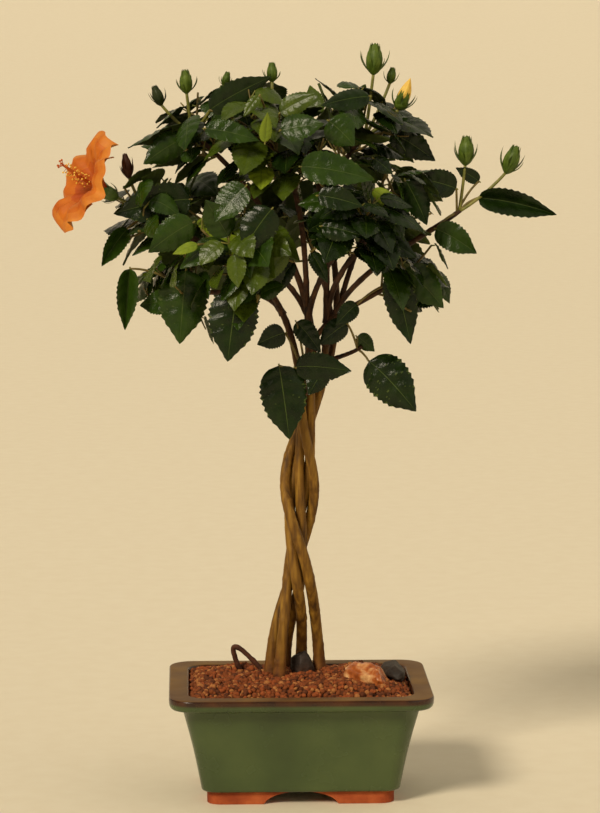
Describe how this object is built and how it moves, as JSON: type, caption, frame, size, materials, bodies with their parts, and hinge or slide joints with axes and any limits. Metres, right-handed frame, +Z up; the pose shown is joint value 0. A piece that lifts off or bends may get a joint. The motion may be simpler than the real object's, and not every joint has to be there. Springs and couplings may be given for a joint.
{
  "type": "hibiscus bonsai",
  "caption": "Small hibiscus tree with a braided trunk, an open leafy crown with buds and an orange bloom, planted in a green glazed rectangular pot.",
  "frame": {"origin": "on the floor under the pot's feet, below the middle of the whole plant's outline", "axes": "+Z up along the trunk, +X to the right seen from the front, +Y away from the viewer towards the back"},
  "size_m": [0.4016, 0.2368, 0.604],
  "materials": {
    "glaze": "gloss green glaze",
    "clay": "unglazed terracotta",
    "soil": "loose reddish gravel",
    "warm_stone": "smooth",
    "dark_stone": "rough",
    "bark": "matt bark",
    "foliage": "semi-gloss leaf"
  },
  "bodies": {
    "root": {"pot": "glaze", "foot_front_left": "clay", "foot_front_right": "clay", "foot_back_left": "clay", "foot_back_right": "clay", "soil": "soil", "root_arch": "bark", "stone_orange": "warm_stone", "stone_dark": "dark_stone", "stone_grey": "dark_stone", "stem_1": "bark", "stem_2": "bark", "stem_3": "bark", "stem_4": "bark", "stem_5": "bark", "bough_back_top": "bark", "bough_back_right": "bark", "bough_back_low": "bark", "bough_top_right": "bark", "bough_right_side": "bark", "bough_right_spur": "bark", "bough_left_top": "bark", "bough_back_left": "bark", "bough_top_left": "bark", "bough_front_right": "bark", "bough_right_low": "bark", "bough_flower_side": "bark", "bough_left_low": "bark", "bough_front_left": "bark", "leaves_back_top": "foliage", "leaves_back_right": "foliage", "leaves_back_low": "foliage", "leaves_top_right": "foliage", "leaves_right_side": "foliage", "leaves_right_spur": "foliage", "leaves_left_top": "foliage", "leaves_back_left": "foliage", "leaves_top_left": "foliage", "leaves_front_right": "foliage", "leaves_right_low": "foliage", "leaves_flower_side": "foliage", "leaves_left_low": "foliage", "leaves_front_left": "foliage", "leaves_low_front": "foliage", "leaves_low_right": "foliage"}
  },
  "joints": []
}
